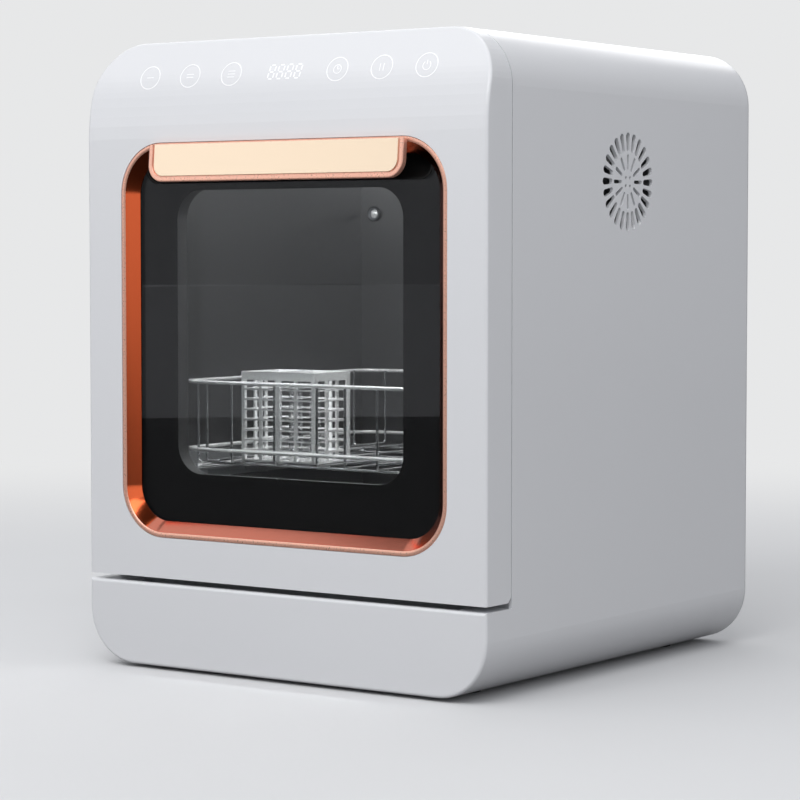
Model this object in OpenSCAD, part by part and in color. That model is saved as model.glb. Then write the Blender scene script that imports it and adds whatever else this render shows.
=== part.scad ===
// Countertop dishwasher with a drop-down window door, a sliding wire rack and a
// side drying vent. Origin: centre of the footprint on the worktop. Front faces -Y.

/* [Overall] */
// Width across the casing
body_w = 400; // [390:5:430]
// Depth from the door front to the back cover
body_d = 420; // [415:5:440]
// Height of the casing without its feet
body_h = 517; // [510:1:530]
// Radius of the four long edges of the casing
corner_r = 46; // [40:1:50]
// Radius of the small outer edges
edge_r = 2.5; // [2:0.5:3]
// Wall of the casing
shell_t = 3; // [2.5:0.25:3.5]
// Height of the rubber feet under the casing
foot_h = 3; // [2.5:0.5:5]

/* [Base] */
// Height of the fixed base front under the door
base_h = 69.3; // [66:0.1:72]
// Distance from the casing's side to the dark trough behind the base front's lip
trough_side = 30; // [28:1:50]
// Depth of that trough
trough_depth = 12; // [8:1:14]
// Thickness of the lip in front of the trough
lip_t = 6; // [4:0.5:8]

/* [Door] */
// Thickness of the door from its front plane to the seam
door_t = 34.5; // [33:0.5:37]
// Open gap between the base front and the door
door_gap = 4.7; // [4:0.1:6]
// Seam between the door and the casing behind it
seam = 1.2; // [1:0.1:1.5]
// Wall of the moulded door front
door_skin = 2.5; // [2:0.25:3]
// Distance below the top where the front starts to lean back
lean_drop = 80; // [78:1:83]
// Radius of that bend
lean_r = 145; // [130:5:160]
// Angle of the leaning band that carries the touch keys
lean_a = 21.5; // [18:0.5:23]
// Chamfer on the inner bottom edge that clears the casing
door_chamfer = 4; // [3.5:0.5:5]

/* [Window] */
// Flat face left on each side of the bezel
bezel_side = 36.7; // [34:0.1:42]
// Distance from the casing's top down to the bezel
bezel_down = 83.8; // [82:0.1:90]
// Height of the bezel's lower edge above the door's lower edge
bezel_up = 34; // [32:0.5:36]
// Outer corner radius of the bezel
bezel_r = 42; // [36:1:46]
// Width of the flat rim of the bezel
rim_w = 3.2; // [2.5:0.1:4]
// Depth of the sloping bezel wall, from the door front to the glass
bezel_depth = 9.7; // [8:0.1:11]
// Thickness of the outer pane
glass_t = 4; // [3:0.5:4.5]
// Thickness of the inner pane
inner_glass_t = 3; // [2.5:0.5:3.5]
// Width of the dark border on each side of the clear window
border_side = 49.3; // [45:0.1:60]
// Distance from the bezel's top down to the clear window
border_top = 38.7; // [38:0.1:50]
// Height of the clear window's lower edge above the door's lower edge
clear_up = 87; // [80:1:90]
// Corner radius of the clear window
clear_r = 24; // [18:1:30]

/* [Handle] */
// Distance from the bezel's side to the handle's end
handle_side = 35.8; // [33:0.1:50]
// Overall height of the handle
handle_h = 30.5; // [28:0.5:32]
// Thickness of the handle moulding
handle_t = 4.5; // [4:0.5:5.5]
// Lower corner radius of the handle
handle_r = 18; // [12:1:20]
// Width of the rim around the handle's face plate
handle_rim = 5; // [3.5:0.5:6]
// How far the handle's top stands in front of the door
handle_out = 6; // [5:0.5:8]
// Forward lean of the handle's face
handle_lean = 4.7; // [3:0.1:6]
// Distance from the bezel's side to the finger pocket
pocket_side = 21.3; // [20:0.1:32]
// Height of the finger pocket
pocket_h = 19.5; // [17:0.5:21]
// Depth of the finger pocket behind the glass
pocket_depth = 14; // [10:1:15]

/* [Side vent] */
// Radius of the outer ring of slots
vent_r = 40.3; // [36:0.1:42]
// Distance from the casing's top down to the vent's centre
vent_down = 116; // [108:1:130]
// Number of outer slots
vent_slots = 24; // [16:2:28]

/* [Tub and rack] */
// Distance from the casing's side to the inside of the wash tub
tub_side = 35; // [34:0.5:40]
// Depth of the wash tub
tub_d = 303; // [295:1:310]
// Gap from the base front's top up to the tub floor
tub_up = 27.7; // [26:0.1:30]
// Gap from the tub ceiling up to the casing's top
tub_down = 38; // [35:1:42]
// Corner radius of the tub
tub_r = 40; // [34:1:44]
// Sheet thickness of the tub
tub_t = 1; // [0.8:0.1:1.2]
// Radius of the main rack wires
wire_r = 1.6; // [1.4:0.1:1.8]
// Distance from the tub's side to the rack
rack_side = 17; // [15:0.5:25]
// Depth of the rack over its wires
rack_d = 268; // [250:2:272]
// Height of the rack from its floor wire to its top wire
rack_h = 72; // [64:1:76]
// Height of the rack floor above the tub floor
rack_up = 65.5; // [63:0.5:68]
// Width of the cutlery basket
basket_w = 76; // [64:2:80]
// Depth of the cutlery basket
basket_d = 50; // [44:2:60]
// Height of the cutlery basket
basket_h = 75; // [66:1:80]
// Distance from the tub's side to the tip of the spray arm
arm_side = 20; // [17:0.5:35]

/* [Fits] */
// Clearance between seated pieces
gap = 0.3; // [0.2:0.05:0.4]
// Radial clearance of a running shaft
run_gap = 0.06; // [0.02:0.01:0.1]
// Radius of the door hinge pins
pin_r = 2.5; // [2:0.25:2.75]

/* [Hidden] */
$fn = 48;
eps = 0.01;
handle_reach = handle_out + handle_h * sin(handle_lean);
front_y = round(2 * handle_reach) / 4 - body_d / 2;
back_y = front_y + body_d;
casing_yc = (front_y + back_y) / 2;
floor_z = foot_h;
top_z = foot_h + body_h;
mid_z = foot_h + body_h / 2;
inner_x = body_w / 2 - shell_t;
deck_z = floor_z + base_h;
door_z = deck_z + door_gap;
door_back_y = front_y + door_t;
frame_y = door_back_y + seam;
lean_z = top_z - lean_drop;
bezel_w = body_w - 2 * bezel_side;
bezel_h = top_z - bezel_down - door_z - bezel_up;
clear_w = bezel_w - 2 * border_side;
clear_h = top_z - bezel_down - border_top - door_z - clear_up;
handle_w = bezel_w - 2 * handle_side;
pocket_w = bezel_w - 2 * pocket_side;
trough_w = body_w - 2 * trough_side;
tub_w = body_w - 2 * tub_side;
rack_w = tub_w - 2 * rack_side;
arm_len = tub_w - 2 * arm_side;
inner_r = corner_r - shell_t;
cover_t = 3;

// ---------- shared shapes ----------

// Rounded rectangle in the plane
module rrect(w, h, r) {
    square([w, h - 2 * r], center = true);
    square([w - 2 * r, h], center = true);
    for (sx = [-1, 1], sy = [-1, 1])
        translate([sx * (w / 2 - r), sy * (h / 2 - r)])
            circle(r);
}

// Upright prism of a rounded rectangle, from y0 back to y1, centred on height zc
module slab(w, h, r, y0, y1, zc) {
    translate([0, y1, zc])
        rotate([90, 0, 0])
            linear_extrude(y1 - y0)
                rrect(w, h, r);
}

// Sweeps a profile round a rounded rectangle. In the profile +X points outwards
// from the path and +Y points to the back.
module sweep_frame(w, h, r) {
    for (c = [[1, -1, 0], [-1, -1, 90], [-1, 1, 180], [1, 1, 270]])
        translate([c[0] * (w / 2 - r), 0, c[1] * (h / 2 - r)])
            rotate([-90, 0, 0])
                rotate([0, 0, c[2]])
                    rotate_extrude(angle = 90)
                        translate([r, 0])
                            children();
    for (s = [0, 1])
        mirror([s, 0, 0])
            translate([w / 2, 0, -(h / 2 - r)])
                linear_extrude(h - 2 * r)
                    children();
    for (s = [0, 1])
        mirror([0, 0, s])
            translate([w / 2 - r, 0, h / 2])
                rotate([0, -90, 0])
                    linear_extrude(w - 2 * r)
                        children();
}

// Block with a rounded-rectangle face whose front edge is rounded by f
module soft_block(w, h, r, f, t) {
    sweep_frame(w, h, r) {
        union() {
            translate([-r, 0])
                square([r - f, t]);
            translate([-r, f])
                square([r, t - f]);
            translate([-f, f])
                intersection() {
                    circle(f);
                    translate([-f, -f])
                        square([2 * f, f]);
                }
        }
    }
    translate([-(w / 2 - r), 0, -(h / 2 - r)])
        cube([w - 2 * r, t, h - 2 * r]);
}

// Extrudes a (y, z) outline along X, centred
module along_x(len) {
    translate([-len / 2, 0, 0])
        rotate([90, 0, 90])
            linear_extrude(len)
                children();
}

// Quarter bend of a pipe: from the origin along +X, turning towards +Y
module bend(r, bend_r) {
    translate([0, bend_r, 0])
        rotate([0, 0, -90])
            rotate_extrude(angle = 90)
                translate([bend_r, 0])
                    circle(r);
}

// Cylinder along +X
module cyl_x(r, h) {
    rotate([0, 90, 0])
        cylinder(r = r, h = h);
}

// Cylinder along +Y
module cyl_y(r, h) {
    rotate([-90, 0, 0])
        cylinder(r = r, h = h);
}

// ---------- casing ----------

nose_t = frame_y - front_y;
vent_z = top_z - vent_down;
tub_front_y = frame_y + 6.3;
tub_back_y = tub_front_y + tub_d;
tub_floor_z = deck_z + tub_up;
tub_h = top_z - tub_down - tub_floor_z;
tub_zc = tub_floor_z + tub_h / 2;
tub_yc = (tub_front_y + tub_back_y) / 2;
vent_y = tub_yc + 16;
foot_x = body_w / 2 - 60;
foot_y = 152;
foot_stem = 4;
boss_len = 16;
boss_y = back_y - cover_t - gap;
screw_r = 1.6;
screw_spots = [
    for (sx = [-1, 1], z = [0.16, 0.5, 0.84]) [sx * (inner_x - 5), floor_z + z * body_h],
    for (sx = [-1, 1], z = [floor_z + shell_t + 5, top_z - shell_t - 5]) [sx * body_w * 0.23, z]
];
hinge_x = body_w / 2 - 14;
hinge_y = front_y + 8;
hinge_z = door_z + 8;
eye_r = 5;
arm_t = 4;
latch_z = tub_floor_z + tub_h + 21;

// Outline of a round-ended slot from radius a to radius b, half-widths wa and wb
function slot_points(a, b, wa, wb) = concat(
    [for (t = [90:30:270]) [a + wa + wa * cos(t), wa * sin(t)]],
    [for (t = [-90:30:90]) [b - wb + wb * cos(t), wb * sin(t)]]
);

module vent_slot(a, b, wa, wb) {
    polygon(slot_points(a, b, wa, wb));
}

module vent_pattern() {
    for (i = [0:vent_slots - 1])
        rotate(i * 360 / vent_slots)
            vent_slot(0.61 * vent_r, vent_r, 0.055 * vent_r, 0.075 * vent_r);
    for (i = [0:vent_slots / 2 - 1])
        rotate(i * 720 / vent_slots)
            vent_slot(0.24 * vent_r, 0.56 * vent_r, 0.033 * vent_r, 0.04 * vent_r);
    for (i = [0:3])
        rotate(45 + i * 90)
            translate([0.116 * vent_r, 0])
                circle(0.035 * vent_r);
}

module outer_casing() {
    color("#eceef1")
    difference() {
        translate([0, front_y, mid_z])
            soft_block(body_w, body_h, corner_r, edge_r, body_d - cover_t - gap);
        // room for the tub
        slab(body_w - 2 * shell_t, body_h - 2 * shell_t, inner_r, frame_y - eps, back_y, mid_z);
        // hollow of the base front
        intersection() {
            slab(body_w - 2 * shell_t, body_h - 2 * shell_t, inner_r, front_y + shell_t, frame_y, mid_z);
            translate([-body_w, front_y, 0])
                cube([2 * body_w, body_d, deck_z - trough_depth - shell_t]);
        }
        // room for the door
        translate([-body_w, front_y - 1, deck_z])
            cube([2 * body_w, nose_t + 1, body_h]);
        translate([-trough_w / 2, front_y + lip_t, deck_z - trough_depth])
            cube([trough_w, nose_t, trough_depth + 1]);
        // rounding of the base front's upper edge
        translate([0, front_y, deck_z])
            along_x(body_w + 2)
                difference() {
                    translate([-1, -edge_r])
                        square([edge_r + 1, edge_r + 1]);
                    translate([edge_r, -edge_r])
                        circle(edge_r);
                }
        translate([inner_x - 1, vent_y, vent_z])
            rotate([90, 0, 90])
                linear_extrude(shell_t + 2)
                    vent_pattern();
        for (sx = [-1, 1], sy = [-1, 1])
            translate([sx * foot_x, casing_yc + sy * foot_y, floor_z - 1])
                cylinder(r = foot_stem + gap / 3, h = shell_t + 2);
        for (p = screw_spots)
            translate([p[0], boss_y - boss_len + 2, p[1]])
                cyl_y(screw_r + gap / 3, boss_len);
    }
}

// Plastic frame round the mouth of the tub, set in the casing's front edge
seal_w = 7;
mouth_w = tub_w + 2 * seal_w + 4 * gap;
mouth_h = tub_h + 2 * seal_w + 4 * gap;
frame_t = 2.5;
module front_frame() {
    color("#9fa3a8")
    difference() {
        union() {
            slab(inner_x * 2 - 2 * gap, body_h - 2 * shell_t - 2 * gap, inner_r - gap,
                frame_y, frame_y + frame_t, mid_z);
            slab(mouth_w + 4, mouth_h + 4, tub_r + seal_w + 2, frame_y, tub_front_y - gap, tub_zc);
        }
        slab(mouth_w, mouth_h, tub_r + seal_w, frame_y - 1, tub_front_y + 1, tub_zc);
        for (sx = [-1, 1])
            translate([sx * hinge_x - arm_t / 2 - 1, frame_y - 1, hinge_z - eye_r - 1])
                cube([arm_t + 2, frame_t + 2, 2 * eye_r + 2]);
        translate([-10, frame_y - 1, latch_z - 3.5])
            cube([20, frame_t + 2, 9]);
    }
}

port_z = tub_floor_z - 41.3;
bay_x0 = -135;
bay_x1 = 5;
bay_z0 = port_z - 28;
bay_z1 = port_z + 28;
bay_depth = 24;
inlet_x = -95;
drain_x = -35;
power_x = 100;
module back_cover() {
    color("#c9ccd0")
    difference() {
        union() {
            translate([0, back_y, mid_z])
                mirror([0, 1, 0])
                    soft_block(body_w, body_h, corner_r, edge_r, cover_t);
            translate([bay_x0 - 2, back_y - bay_depth - 2, bay_z0 - 2])
                cube([bay_x1 - bay_x0 + 4, bay_depth + 1, bay_z1 - bay_z0 + 4]);
        }
        translate([bay_x0, back_y - bay_depth, bay_z0])
            cube([bay_x1 - bay_x0, bay_depth + 1, bay_z1 - bay_z0]);
        for (x = [inlet_x, drain_x])
            translate([x, back_y - bay_depth - 3, port_z])
                cyl_y(8 + gap, 4);
        translate([power_x - 13.8, back_y - cover_t - 1, port_z - 10.3])
            cube([27.6, cover_t + 2, 20.6]);
        for (row = [0:1], i = [-6:6])
            translate([i * 12 - 2, back_y - cover_t - 1, mid_z + 60 + row * 60])
                cube([4, cover_t + 2, 44]);
        for (p = screw_spots)
            translate([p[0], back_y - cover_t - 1, p[1]]) {
                cyl_y(screw_r + gap, cover_t + 2);
                translate([0, cover_t - 1.2, 0])
                    cyl_y(4 + gap, 3);
            }
    }
}

module cover_screws() {
    color("#b8bcc0")
    for (p = screw_spots)
        translate([p[0], back_y - 12, p[1]]) {
            cyl_y(screw_r, 10);
            translate([0, 10 - eps, 0])
                cyl_y(4, 1.8);
        }
}

pan_w = body_w - 100;
module base_pan() {
    color("#3c3f44")
    difference() {
        translate([-pan_w / 2, frame_y + frame_t + gap, floor_z + shell_t + gap])
            cube([pan_w, back_y - boss_len - 6 - frame_y - frame_t - gap, 14]);
        translate([-pan_w / 2 + 2, frame_y + frame_t + gap + 2, floor_z + shell_t + gap + 2])
            cube([pan_w - 4, back_y - boss_len - 10 - frame_y - frame_t - gap, 14]);
        for (sx = [-1, 1], sy = [-1, 1])
            translate([sx * foot_x, casing_yc + sy * foot_y, floor_z])
                cylinder(r = foot_stem + 1, h = 20);
    }
}

module rubber_feet() {
    color("#26272a")
    for (sx = [-1, 1], sy = [-1, 1])
        translate([sx * foot_x, casing_yc + sy * foot_y, 0]) {
            cylinder(r = 14, h = foot_h);
            cylinder(r = foot_stem, h = foot_h + shell_t + 2);
        }
}

// ---------- tub ----------

sump_r = 50;
lamp_x = -tub_w / 2 + 15.5;
lamp_z = top_z - tub_down - 100;
lamp_r = 7;
fill_z = tub_zc + 12;
heat_r = 96;
heat_tube = 3.2;
heat_leg = 15;
heat_z = tub_floor_z + 8;
leg_r = heat_tube + 1.2;
leg_x = heat_r * sin(heat_leg);
leg_y = heat_r * cos(heat_leg);
duct_r = 33;

module tub_grille() {
    for (i = [-3:3])
        translate([0, i * 8, 0])
            cube([10, 4, 2 * sqrt(pow(duct_r - 3, 2) - pow(i * 8 + sign(i) * 2, 2))], center = true);
}

module wash_tub() {
    color("#b9bdc1")
    difference() {
        union() {
            slab(tub_w + 2 * tub_t, tub_h + 2 * tub_t, tub_r + tub_t, tub_front_y,
                tub_back_y + tub_t, tub_zc);
            slab(tub_w + 24, tub_h + 24, tub_r + 12, tub_front_y, tub_front_y + tub_t, tub_zc);
        }
        slab(tub_w, tub_h, tub_r, tub_front_y - 1, tub_back_y, tub_zc);
        translate([0, tub_yc, tub_floor_z - 5])
            cylinder(r = sump_r, h = 10);
        translate([lamp_x, tub_back_y - 2, lamp_z])
            cyl_y(lamp_r - 2 + gap, 6);
        translate([inlet_x, tub_back_y - 2, fill_z])
            cyl_y(7 + gap, 6);
        for (s = [-1, 1])
            translate([s * leg_x, tub_yc + leg_y, tub_floor_z - 5])
                cylinder(r = leg_r + gap, h = 10);
        translate([tub_w / 2, vent_y, vent_z])
            tub_grille();
    }
}

module tub_gasket() {
    color("#56595d")
    translate([0, 0, tub_zc])
        sweep_frame(tub_w, tub_h, tub_r)
            polygon([
                [gap, frame_y - seam + gap], [3, frame_y - seam + gap], [seal_w, frame_y + 2],
                [seal_w, tub_front_y - gap], [gap, tub_front_y - gap]
            ]);
}

rail_z = tub_floor_z + rack_up - wire_r - gap;
rail_in = rack_w / 2 - 15;
module rack_rails() {
    color("#aeb2b6")
    for (s = [0, 1])
        mirror([s, 0, 0]) {
            translate([rail_in, tub_front_y + 12, rail_z - 2])
                cube([tub_w / 2 - gap - rail_in, tub_d - 30, 2]);
            translate([tub_w / 2 - gap - 2, tub_front_y + 12, rail_z - 12])
                cube([2, tub_d - 30, 24]);
            for (y = [20:52:tub_d - 30])
                translate([rail_in + 6, tub_front_y + y, rail_z - 10])
                    cube([tub_w / 2 - gap - rail_in - 7, 2, 9]);
        }
}

module tub_lamp() {
    color("#f4f6f8")
    translate([lamp_x, tub_back_y, lamp_z]) {
        translate([0, -3 - gap, 0])
            cyl_y(lamp_r, 3);
        translate([0, -gap - eps, 0])
            cyl_y(lamp_r - 2, 12);
    }
}

bowl_z = tub_floor_z - tub_t - gap;
bowl_h = bowl_z - port_z + 14;
port_r = 9;
post_r = 9;
module sump() {
    color("#4a4e53")
    difference() {
        union() {
            translate([0, tub_yc, bowl_z - bowl_h])
                cylinder(r = sump_r - gap, h = bowl_h);
            translate([0, tub_yc, bowl_z - 3])
                cylinder(r = sump_r + 10, h = 3);
            translate([0, tub_yc, bowl_z - bowl_h + 14])
                cyl_x(port_r + 2, sump_r + 14);
            translate([-sump_r - 14, tub_yc, bowl_z - bowl_h + 14])
                cyl_x(port_r + 2, sump_r + 14);
            translate([0, tub_yc, feed_z])
                cyl_x(feed_r + 2, sump_r + 14);
        }
        translate([0, tub_yc, bowl_z - bowl_h + 3])
            cylinder(r = sump_r - 3, h = bowl_h);
        translate([0, tub_yc, bowl_z - bowl_h + 14])
            cyl_x(port_r, sump_r + 15);
        translate([-sump_r - 15, tub_yc, bowl_z - bowl_h + 14])
            cyl_x(port_r, sump_r + 14);
        translate([0, tub_yc, feed_z])
            cyl_x(feed_r, sump_r + 15);
    }
}

arm_z = tub_floor_z + 20;
module spray_post() {
    color("#5b6066")
    difference() {
        union() {
            translate([0, tub_yc, bowl_z - bowl_h + 3 + gap])
                cylinder(r = 14, h = 4);
            translate([0, tub_yc, bowl_z - bowl_h + 3 + gap])
                cylinder(r = 12, h = bowl_h - 3 + 14);
            translate([0, tub_yc, bowl_z - bowl_h + 3 + gap])
                cylinder(r = post_r, h = arm_z + 21.4 - (bowl_z - bowl_h + 3));
            translate([0, tub_yc, arm_z + 16 + gap])
                cylinder(r = 13, h = 5);
        }
        translate([0, tub_yc, bowl_z - bowl_h + 10])
            cylinder(r = post_r - 3, h = arm_z - bowl_z + bowl_h + 4);
        translate([0, tub_yc, feed_z])
            cyl_x(port_r - 3, 20);
        for (a = [0:60:120])
            translate([0, tub_yc, arm_z + 8])
                rotate([0, 0, a])
                    translate([-20, 0, 0])
                        cyl_x(2.5, 40);
    }
}

module heating_element() {
    color("#8d9094")
    translate([0, tub_yc, heat_z]) {
        rotate([0, 0, 90 + heat_leg])
            rotate_extrude(angle = 360 - 2 * heat_leg)
                translate([heat_r, 0])
                    circle(heat_tube);
        for (sx = [-1, 1])
            translate([sx * leg_x, leg_y, 0]) {
                translate([0, 0, -24])
                    cylinder(r = leg_r, h = 24 + leg_r);
                translate([0, 0, tub_floor_z - heat_z + gap])
                    cylinder(r = leg_r + 4, h = 1.5);
            }
    }
}

fan_x0 = tub_w / 2 + tub_t + 3.5;
fan_len = inner_x - fan_x0 - gap;
fan_s = 84;
fan_bore = 38.5;
shaft_r = 1.5;
module fan_frame() {
    color("#2d2f33")
    translate([fan_x0, vent_y, vent_z]) {
        difference() {
            rotate([90, 0, 90])
                linear_extrude(fan_len)
                    rrect(fan_s, fan_s, 6);
            translate([-1, 0, 0])
                cyl_x(fan_bore, fan_len + 2);
            for (sy = [-1, 1], sz = [-1, 1])
                translate([-1, sy * 36, sz * 36])
                    cyl_x(2.2, fan_len + 2);
        }
        difference() {
            union() {
                cyl_x(15, 5);
                for (a = [0:90:270])
                    rotate([a, 0, 0])
                        translate([0, -2, 10])
                            cube([2.5, 4, fan_bore - 9]);
            }
            translate([1.5, 0, 0])
                cyl_x(shaft_r + run_gap, 5);
        }
    }
}

module fan_gasket() {
    color("#5c6066")
    translate([tub_w / 2 + tub_t + gap, vent_y, vent_z])
        difference() {
            cyl_x(duct_r + 4, 3.5 - 2 * gap);
            translate([-1, 0, 0])
                cyl_x(duct_r, 6);
        }
}

module fan_rotor() {
    color("#3a3d42")
    translate([fan_x0 + 5 + gap, vent_y, vent_z])
        difference() {
            union() {
                cyl_x(15, 14);
                translate([-4 - gap + 1, 0, 0])
                    cyl_x(shaft_r, 6);
                intersection() {
                    for (a = [0:360 / 7:359])
                        rotate([a, 0, 0])
                            translate([7, 0, 25])
                                rotate([0, 0, 38])
                                    cube([1.4, 20, 28], center = true);
                    cyl_x(fan_bore - 1.5, 14);
                }
            }
            translate([4, 0, 0])
                difference() {
                    cyl_x(12, 14);
                    cyl_x(5, 14);
                }
        }
}

// ---------- hinges and latch on the casing ----------

bracket_y = frame_y + frame_t;
module hinge_brackets() {
    color("#8e9297")
    for (s = [0, 1])
        mirror([s, 0, 0])
            translate([hinge_x, 0, 0]) {
                difference() {
                    union() {
                        translate([0, hinge_y, hinge_z])
                            translate([-arm_t / 2, 0, 0])
                                cyl_x(eye_r, arm_t);
                        translate([-arm_t / 2, hinge_y, hinge_z - eye_r])
                            cube([arm_t, bracket_y + 34 - hinge_y, 2 * eye_r]);
                        translate([-arm_t / 2, bracket_y + gap, hinge_z - eye_r - 12])
                            cube([arm_t, 34 - gap, 2 * eye_r + 50]);
                        translate([-arm_t / 2, bracket_y + gap, hinge_z + eye_r + 4])
                            cube([10, 2, 34]);
                    }
                    translate([-arm_t, hinge_y, hinge_z])
                        cyl_x(pin_r + run_gap, 2 * arm_t);
                    for (z = [12, 30])
                        translate([arm_t / 2 + 4, bracket_y - 1, hinge_z + eye_r + z])
                            cyl_y(1.7, 6);
                }
            }
}

module latch_housing() {
    color("#3a3c40")
    difference() {
        translate([-20, frame_y + frame_t + gap, latch_z - 8])
            cube([40, 30, 18]);
        translate([-9, frame_y + frame_t - 1, latch_z - 2.5])
            cube([18, 24, 7]);
        for (sx = [-1, 1])
            translate([sx * 15, frame_y + frame_t - 1, latch_z + 1])
                cyl_y(1.6, 34);
    }
}

// ---------- pumps, heater feed and connections ----------

volute_x = sump_r + 14 + gap;
volute_r = 19;
feed_r = 6;
hose_wall = 1.5;
volute_w = 16;
feed_z = port_z + volute_r + feed_r + 1;
elbow_r = (volute_r - feed_r) / 2;
volute_mid = volute_x + 3 + volute_w / 2;
module pump_volute() {
    color("#5f646a")
    translate([volute_x, tub_yc, port_z])
        difference() {
            union() {
                cyl_x(port_r + 2, 4);
                translate([3, 0, 0])
                    cyl_x(volute_r, volute_w);
                translate([3 + volute_w / 2, volute_r - feed_r, 0])
                    cylinder(r = feed_r, h = feed_z - elbow_r - 1 - port_z);
            }
            translate([-1, 0, 0])
                cyl_x(port_r, 6);
            translate([5, 0, 0])
                cyl_x(volute_r - 2, volute_w - 4);
            translate([4 + volute_w - 4, 0, 0])
                cyl_x(3 + run_gap, 6);
            translate([3 + volute_w / 2, volute_r - feed_r, 0])
                cylinder(r = feed_r - 1.5, h = 60);
        }
}

module feed_run(r, extra) {
    rise_y = tub_yc + 2 * elbow_r;
    translate([volute_mid, rise_y, feed_z - elbow_r - 1 + gap - extra])
        cylinder(r = r, h = 1 - gap + extra);
    translate([volute_mid, rise_y, feed_z - elbow_r])
        rotate([0, -90, 0])
            rotate([180, 0, 0])
                bend(r, elbow_r);
    translate([volute_mid, tub_yc + elbow_r, feed_z])
        rotate([180, 0, -90])
            bend(r, elbow_r);
    translate([volute_x - extra, tub_yc, feed_z])
        cyl_x(r, volute_mid - elbow_r - volute_x + extra);
}

module pump_elbow() {
    color("#2e3034")
    difference() {
        feed_run(feed_r, 0);
        feed_run(feed_r - hose_wall, 1);
    }
}

motor_x = volute_x + 3 + volute_w + gap;
motor_r = 25;
module pump_motor() {
    color("#9a9ea3")
    difference() {
        union() {
            translate([motor_x, tub_yc, port_z])
                cyl_x(motor_r - 2, 8);
            translate([motor_x + 8, tub_yc, port_z])
                cyl_x(motor_r, 46);
            translate([motor_x + 54, tub_yc, port_z])
                cyl_x(12, 6);
        }
        translate([motor_x - 1, tub_yc, port_z])
            cyl_x(5, 10);
        for (a = [0:30:359])
            translate([motor_x + 16, tub_yc, port_z])
                rotate([a, 0, 0])
                    translate([0, motor_r - 1.5, -1.5])
                        cube([32, 4, 3]);
    }
}

module pump_impeller() {
    color("#d9dcdf")
    translate([volute_x + 5 + gap, tub_yc, port_z]) {
        cyl_x(volute_r - 4, 2);
        cyl_x(6, volute_w - 5);
        translate([volute_w - 6, 0, 0])
            cyl_x(3, 9);
        for (a = [0:60:359])
            rotate([a, 0, 0])
                translate([1.5, 5, -1])
                    cube([volute_w - 8, volute_r - 10, 2]);
    }
}

drain_pump_x = -sump_r - 14 - gap;
module drain_pump() {
    color("#6c7076")
    translate([drain_pump_x, tub_yc, port_z])
        difference() {
            union() {
                translate([-18, 0, 0])
                    cyl_x(17, 18);
                translate([-60, 0, 0])
                    cyl_x(15, 42);
                translate([-9, 0, 0])
                    cyl_y(8, 30);
                translate([-54, -13, 10])
                    cube([28, 26, 12]);
            }
            translate([-16, 0, 0])
                cyl_x(port_r, 17);
            translate([-9, 0, 0])
                cyl_y(6, 31);
        }
}

hose_r = 8;
hose_bend = 14;
bay_back_y = back_y - bay_depth - 2;
drain_run_y = tub_yc + 30 + gap;
turn_y = bay_back_y - 4 - gap - 2 * hose_bend;
module drain_run(r, extra) {
    x0 = drain_pump_x - 9;
    translate([x0, drain_run_y - extra, port_z])
        cyl_y(r, turn_y - hose_bend - drain_run_y + extra);
    translate([x0, turn_y - hose_bend, port_z])
        rotate([180, 0, 90])
            bend(r, hose_bend);
    translate([x0 + hose_bend, turn_y, port_z])
        cyl_x(r, drain_x - x0 - 2 * hose_bend);
    translate([drain_x - hose_bend, turn_y, port_z])
        bend(r, hose_bend);
    translate([drain_x, turn_y + hose_bend, port_z])
        cyl_y(r, hose_bend + extra);
}

module drain_hose() {
    color("#303236")
    difference() {
        drain_run(hose_r, 0);
        drain_run(hose_r - 2, 1);
    }
}

spout_r = 9.5;
module drain_outlet() {
    color("#4d5156")
    difference() {
        union() {
            translate([drain_x, back_y - bay_depth + gap, port_z])
                cyl_y(14, 3);
            translate([drain_x, bay_back_y - 4, port_z])
                cyl_y(8, bay_depth);
            translate([drain_x, back_y - bay_depth + 1, port_z])
                cyl_y(spout_r, bay_depth - 3);
        }
        translate([drain_x, bay_back_y - 5, port_z])
            cyl_y(5.5, 40);
    }
}

thread_r = 13.2;
module water_inlet() {
    color("#c2c5c8")
    difference() {
        union() {
            translate([inlet_x, back_y - bay_depth + gap, port_z])
                cyl_y(17, 3);
            translate([inlet_x, bay_back_y - 4, port_z])
                cyl_y(8, bay_depth);
            translate([inlet_x, back_y - bay_depth + 1, port_z])
                cyl_y(thread_r, bay_depth - 3);
        }
        translate([inlet_x, bay_back_y - 5, port_z])
            cyl_y(5.5, 8);
        translate([inlet_x, back_y - bay_depth + 4, port_z])
            cyl_y(9, 40);
    }
}

valve_y = bay_back_y - 4 - gap;
fill_y = valve_y - 14;
module inlet_valve() {
    color("#e6e8ea")
    difference() {
        union() {
            translate([inlet_x, valve_y - 30, port_z])
                cyl_y(13, 30);
            translate([inlet_x - 14, valve_y - 28, port_z - 34])
                cube([28, 26, 22]);
            translate([inlet_x, fill_y, port_z])
                cylinder(r = 7, h = 22);
        }
        translate([inlet_x, valve_y - 10, port_z])
            cyl_y(6, 11);
        translate([inlet_x, fill_y, port_z])
            cylinder(r = 5, h = 23);
    }
}

fill_bend = 10;
module fill_run(r, extra) {
    translate([inlet_x, fill_y, port_z + 22 + gap - extra])
        cylinder(r = r, h = fill_z - fill_bend - port_z - 22 - gap + extra);
    translate([inlet_x, fill_y, fill_z - fill_bend])
        rotate([0, -90, 0])
            rotate([180, 0, 0])
                bend(r, fill_bend);
    translate([inlet_x, tub_back_y - 1 - extra, fill_z])
        cyl_y(r, fill_y - fill_bend - tub_back_y + 1 + extra);
}

fill_hose_r = 7;
module fill_hose() {
    color("#e9ebed")
    difference() {
        fill_run(fill_hose_r, 0);
        fill_run(fill_hose_r - 2, 1);
    }
}

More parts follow.
